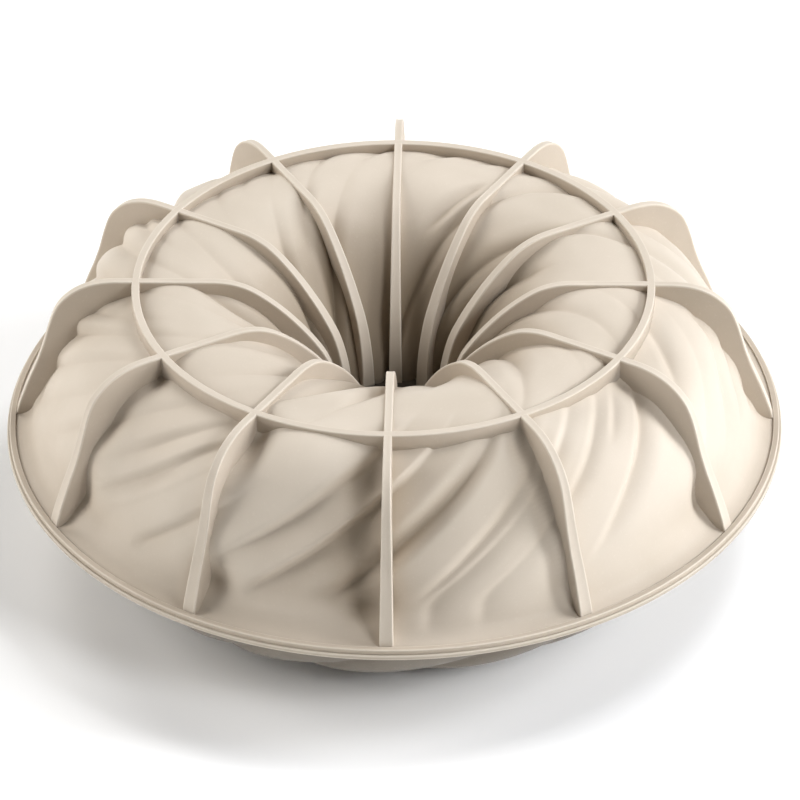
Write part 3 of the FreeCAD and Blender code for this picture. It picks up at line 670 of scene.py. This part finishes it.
        # the two loops run the opposite way round the rows, so match by angle
        hi_pts = np.concatenate([verts] + extra)[hi][:, :2] - centre
        lo_pts = np.concatenate([verts] + extra)[lo][:, :2] - centre
        ha = np.degrees(np.arctan2(hi_pts[:, 1], hi_pts[:, 0]))
        la = np.degrees(np.arctan2(lo_pts[:, 1], lo_pts[:, 0]))
        hi_sorted = hi[np.argsort(ha)]
        lo_sorted = lo[np.argsort(la)]
        m = len(lo_sorted)
        for e in range(m):
            faces.append([int(lo_sorted[e]), int(lo_sorted[(e + 1) % m]),
                          int(hi_sorted[(e + 1) % m]), int(hi_sorted[e])])
    verts = np.concatenate([verts] + extra)
    return mesh_object("closing_bowl", verts, faces, True)


bowl = orient(build_closing_shell())


# ---------------------------------------------------------------- materials
def srgb(r, g, b):
    out = []
    for c in (r, g, b):
        c /= 255.0
        out.append(c / 12.92 if c <= 0.04045 else ((c + 0.055) / 1.055) ** 2.4)
    return tuple(out) + (1.0,)


def silicone(name, dark, light, dust_and_highlight, attribute=None, seed=0.0, rough=(0.5, 0.66)):
    """matte moulded silicone: faint clouding, a fine grain and tiny specks of dust;
    painted highlight on rounded edges and rib tops, and on the fluted skin painted highlight on the crests and
    painted shade in the valleys and down the well"""
    m = bpy.data.materials.new(name)
    m.use_nodes = True
    nt = m.node_tree
    nt.nodes.clear()
    N = nt.nodes.new
    L = nt.links.new
    out = N("ShaderNodeOutputMaterial")
    bsdf = N("ShaderNodeBsdfPrincipled")
    L(bsdf.outputs["BSDF"], out.inputs["Surface"])
    bsdf.inputs["IOR"].default_value = 1.41
    bsdf.inputs["Specular IOR Level"].default_value = 0.35
    bsdf.inputs["Sheen Weight"].default_value = 0.12
    bsdf.inputs["Sheen Roughness"].default_value = 0.5
    co = N("ShaderNodeTexCoord")
    mp = N("ShaderNodeMapping")
    mp.inputs["Location"].default_value = (seed, seed * 0.7, -seed * 0.4)
    L(co.outputs["Object"], mp.inputs["Vector"])
    cloud = N("ShaderNodeTexNoise")
    cloud.inputs["Scale"].default_value = 26.0
    cloud.inputs["Detail"].default_value = 4.0
    cloud.inputs["Roughness"].default_value = 0.55
    L(mp.outputs["Vector"], cloud.inputs["Vector"])
    ramp = N("ShaderNodeValToRGB")
    ramp.color_ramp.elements[0].position = 0.32
    ramp.color_ramp.elements[0].color = dark
    ramp.color_ramp.elements[1].position = 0.70
    ramp.color_ramp.elements[1].color = light
    L(cloud.outputs["Fac"], ramp.inputs["Fac"])
    # specks
    speck = N("ShaderNodeTexNoise")
    speck.inputs["Scale"].default_value = 1150.0
    speck.inputs["Detail"].default_value = 2.0
    L(mp.outputs["Vector"], speck.inputs["Vector"])
    sr = N("ShaderNodeMapRange")
    sr.inputs["From Min"].default_value = 0.60
    sr.inputs["From Max"].default_value = 0.78
    sr.inputs["To Min"].default_value = 0.0
    sr.inputs["To Max"].default_value = 0.10
    L(speck.outputs["Fac"], sr.inputs["Value"])
    mix1 = N("ShaderNodeMix")
    mix1.data_type = "RGBA"
    L(sr.outputs["Result"], mix1.inputs["Factor"])
    L(ramp.outputs["Color"], mix1.inputs["A"])
    mix1.inputs["B"].default_value = dust_and_highlight
    colour = mix1.outputs["Result"]
    if attribute:
        at = N("ShaderNodeAttribute")
        at.attribute_name = attribute
        mr = N("ShaderNodeMapRange")
        if attribute == "relief":
            # painted shade: valleys are coloured deeper, and the well deeper still
            low = N("ShaderNodeMapRange")
            low.inputs["From Min"].default_value = -7.0
            low.inputs["From Max"].default_value = -0.5
            low.inputs["To Min"].default_value = 0.85
            low.inputs["To Max"].default_value = 0.0
            L(at.outputs["Fac"], low.inputs["Value"])
            deep = N("ShaderNodeMix")
            deep.data_type = "RGBA"
            L(low.outputs["Result"], deep.inputs["Factor"])
            L(colour, deep.inputs["A"])
            deep.inputs["B"].default_value = srgb(122, 107, 86)
            colour = deep.outputs["Result"]
            # painted highlight: the crests of the flutes mix towards the pale colour
            mr.inputs["From Min"].default_value = -2.0
            mr.inputs["From Max"].default_value = 2.5
            mr.inputs["To Max"].default_value = 0.34
        else:
            # painted highlight on the rounded edges and rib tops, where the edge value is set
            mr.inputs["From Min"].default_value = 0.0
            mr.inputs["From Max"].default_value = 1.0
            mr.inputs["To Max"].default_value = 0.42
        mr.inputs["To Min"].default_value = 0.0
        L(at.outputs["Fac"], mr.inputs["Value"])
        mix2 = N("ShaderNodeMix")
        mix2.data_type = "RGBA"
        L(mr.outputs["Result"], mix2.inputs["Factor"])
        L(colour, mix2.inputs["A"])
        mix2.inputs["B"].default_value = dust_and_highlight
        colour = mix2.outputs["Result"]
    L(colour, bsdf.inputs["Base Color"])
    rr = N("ShaderNodeMapRange")
    rr.inputs["From Min"].default_value = 0.3
    rr.inputs["From Max"].default_value = 0.7
    rr.inputs["To Min"].default_value = rough[0]
    rr.inputs["To Max"].default_value = rough[1]
    wear = N("ShaderNodeTexNoise")
    wear.inputs["Scale"].default_value = 75.0
    wear.inputs["Detail"].default_value = 5.0
    L(mp.outputs["Vector"], wear.inputs["Vector"])
    L(wear.outputs["Fac"], rr.inputs["Value"])
    L(rr.outputs["Result"], bsdf.inputs["Roughness"])
    grain = N("ShaderNodeTexNoise")
    grain.inputs["Scale"].default_value = 2200.0
    grain.inputs["Detail"].default_value = 2.0
    L(mp.outputs["Vector"], grain.inputs["Vector"])
    bump = N("ShaderNodeBump")
    bump.inputs["Strength"].default_value = 0.22
    bump.inputs["Distance"].default_value = 0.00008
    L(grain.outputs["Fac"], bump.inputs["Height"])
    ripple = N("ShaderNodeTexNoise")
    ripple.inputs["Scale"].default_value = 120.0
    ripple.inputs["Detail"].default_value = 2.0
    L(mp.outputs["Vector"], ripple.inputs["Vector"])
    bump2 = N("ShaderNodeBump")
    bump2.inputs["Strength"].default_value = 0.02
    bump2.inputs["Distance"].default_value = 0.0005
    L(ripple.outputs["Fac"], bump2.inputs["Height"])
    L(bump.outputs["Normal"], bump2.inputs["Normal"])
    L(bump2.outputs["Normal"], bsdf.inputs["Normal"])
    return m


# PALE is both the colour of the dust specks and of the painted highlight
DARK, LIGHT, PALE = srgb(177, 164, 147), srgb(189, 176, 160), srgb(224, 216, 203)
m_shell = silicone("silicone_fluted", DARK, LIGHT, PALE, "relief", 0.31)
m_ribs = silicone("silicone_ribs", DARK, LIGHT, PALE, "edge", 0.57)
m_flange = silicone("silicone_flange", DARK, LIGHT, PALE, "edge", 0.83)
# the closing half is a darker copy of the same silicone: painted shade for its place under the rim
m_low = silicone("silicone_closing", srgb(120, 111, 100), srgb(134, 126, 114), PALE, None, 1.27)
m_low_rim = silicone("silicone_closing_rim", srgb(172, 160, 144), srgb(184, 173, 157), PALE, "edge", 1.61)

for ob, mat, body, nodes, slot in (
        (shell, m_shell, "ribbed_half", ["ribbed_shell"], "ribbed_silicone"),
        (rim_top, m_flange, "ribbed_half", ["ribbed_rim"], "ribbed_silicone"),
        (ring, m_ribs, "ribbed_half", ["crown_ring"], "rib_silicone"),
        (ribs_out, m_ribs, "ribbed_half", ["outer_ribs"], "rib_silicone"),
        (ribs_in, m_ribs, "ribbed_half", ["inner_ribs"], "rib_silicone"),
        (bowl, m_low, "closing_half", ["closing_shell"], "closing_silicone"),
        (rim_low, m_low_rim, "closing_half", ["closing_rim"], "closing_silicone")):
    ob.data.materials.append(mat)
    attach(ob, body)
    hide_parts(*nodes)

# ------------------------------------------------------- floor, light, camera
def build_floor():
    m = bpy.data.materials.new("pale_floor")
    m.use_nodes = True
    nt = m.node_tree
    b = nt.nodes["Principled BSDF"]
    b.inputs["Roughness"].default_value = 0.85
    b.inputs["Specular IOR Level"].default_value = 0.1
    co = nt.nodes.new("ShaderNodeTexCoord")
    no = nt.nodes.new("ShaderNodeTexNoise")
    no.inputs["Scale"].default_value = 3.0
    nt.links.new(co.outputs["Object"], no.inputs["Vector"])
    ra = nt.nodes.new("ShaderNodeValToRGB")
    ra.color_ramp.elements[0].color = (0.94, 0.94, 0.935, 1)
    ra.color_ramp.elements[1].color = (0.965, 0.965, 0.96, 1)
    nt.links.new(no.outputs["Fac"], ra.inputs["Fac"])
    nt.links.new(ra.outputs["Color"], b.inputs["Base Color"])
    me = bpy.data.meshes.new("floor")
    me.from_pydata([(1.15 * math.cos(math.radians(3 * k)), 1.15 * math.sin(math.radians(3 * k)), -0.0002)
                    for k in range(120)], [], [list(range(120))])
    ob = bpy.data.objects.new("floor", me)
    ob.data.materials.append(m)
    bpy.context.scene.collection.objects.link(ob)
    return ob


floor = build_floor()


def area(name, place, target, size, power, colour=(1, 1, 1)):
    d = bpy.data.lights.new(name, "AREA")
    d.shape = "RECTANGLE"
    d.size, d.size_y = size
    d.energy = power
    d.color = colour
    ob = bpy.data.objects.new(name, d)
    ob.location = place
    ob.rotation_mode = "QUATERNION"
    ob.rotation_quaternion = (Vector(target) - Vector(place)).to_track_quat("-Z", "Y")
    bpy.context.scene.collection.objects.link(ob)
    return ob


area("key_right", (1.27, 0.0, 0.62), (0, 0, 0.04), (0.4, 0.8), 17.5, (0.94, 0.96, 1.0))
area("high_right", (0.50, 0.38, 1.26), (0, 0, 0.04), (0.5, 0.5), 8.2, (0.97, 0.98, 1.0))
area("back_left", (-0.62, 0.90, 0.90), (0, 0, 0.04), (0.5, 0.5), 6.6, (1.0, 0.985, 0.965))
area("fill_left", (-1.27, 0.0, 0.62), (0, 0, 0.04), (0.6, 1.1), 14.8, (1.0, 0.98, 0.955))
area("front_right", (0.85, -0.77, 0.84), (0, 0, 0.04), (0.4, 0.4), 8.0, (0.97, 0.98, 1.0))

# the studio walls: a pale band at the horizon, nearly dark overhead
world = bpy.data.worlds.new("studio")
world.use_nodes = True
wt = world.node_tree
w_co = wt.nodes.new("ShaderNodeTexCoord")
w_sep = wt.nodes.new("ShaderNodeSeparateXYZ")
w_map = wt.nodes.new("ShaderNodeMapRange")
w_map.inputs["From Min"].default_value = -0.3
w_map.inputs["From Max"].default_value = 0.3
w_ramp = wt.nodes.new("ShaderNodeValToRGB")
for k, (at, grey) in enumerate(((0.04, 0.02), (0.15, 0.96), (0.64, 0.96), (0.85, 0.02))):
    e = w_ramp.color_ramp.elements[k] if k < 2 else w_ramp.color_ramp.elements.new(at)
    e.position = at
    e.color = (grey, grey, grey * 0.99, 1)
wt.links.new(w_co.outputs["Generated"], w_sep.inputs["Vector"])
wt.links.new(w_sep.outputs["Z"], w_map.inputs["Value"])
wt.links.new(w_map.outputs["Result"], w_ramp.inputs["Fac"])
wt.links.new(w_ramp.outputs["Color"], wt.nodes["Background"].inputs["Color"])
bpy.context.scene.world = world
bpy.context.scene.view_settings.view_transform = "Standard"

cam_data = bpy.data.cameras.new("camera")
cam_data.lens = 229.3
cam_data.sensor_width = 36.0
cam_data.clip_end = 50.0
cam = bpy.data.objects.new("camera", cam_data)
az, el = math.radians(1.37), math.radians(35.71)
back = Vector((math.sin(az) * math.cos(el), -math.cos(az) * math.cos(el), math.sin(el)))
right = Vector((math.cos(az), math.sin(az), 0))
up = back.cross(right)
aim = Vector((0, 0, 0.0350)) + right * 0.00177 + up * 0.00404
cam.location = aim + back * 1.5840
m = Matrix((right, up, back)).transposed()
cam.rotation_mode = "QUATERNION"
cam.rotation_quaternion = (m @ Matrix.Rotation(math.radians(-0.44), 3, "Z")).to_quaternion()
bpy.context.scene.collection.objects.link(cam)
bpy.context.scene.camera = cam
